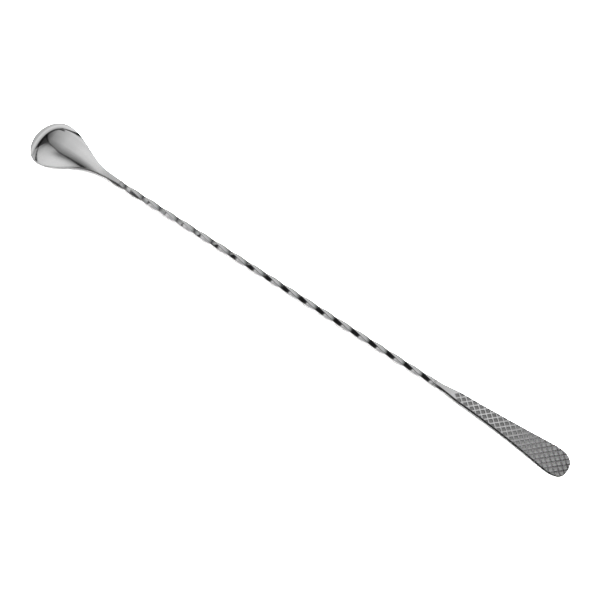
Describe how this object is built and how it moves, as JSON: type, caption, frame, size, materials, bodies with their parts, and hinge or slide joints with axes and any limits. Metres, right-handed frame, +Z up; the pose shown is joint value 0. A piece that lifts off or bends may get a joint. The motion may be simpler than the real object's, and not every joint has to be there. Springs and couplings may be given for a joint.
{
  "type": "bar spoon",
  "caption": "Long stainless bar spoon with a teardrop bowl, a right-hand twisted square shank and a lattice-textured paddle end, for stirring and measuring drinks.",
  "frame": {"origin": "middle of the footprint, on the surface the spoon lies on, face down", "axes": "+X from the bowl to the paddle along the bar, +Y across the spoon, +Z up, out of the back of the bowl"},
  "size_m": [0.335, 0.0298, 0.0108],
  "materials": {
    "bowl_steel": "tumbled satin stainless steel, softly reflective",
    "shank_steel": "drawn and twisted bar, softly reflective, darker in its valleys",
    "paddle_steel": "coined satin stainless steel, polished on the ridges",
    "weld_steel": "ground flush and tumbled with the rest"
  },
  "bodies": {
    "root": {"bowl": "bowl_steel", "bowl_weld": "weld_steel", "twisted_shank": "shank_steel", "paddle_weld": "weld_steel", "paddle": "paddle_steel"}
  },
  "joints": []
}
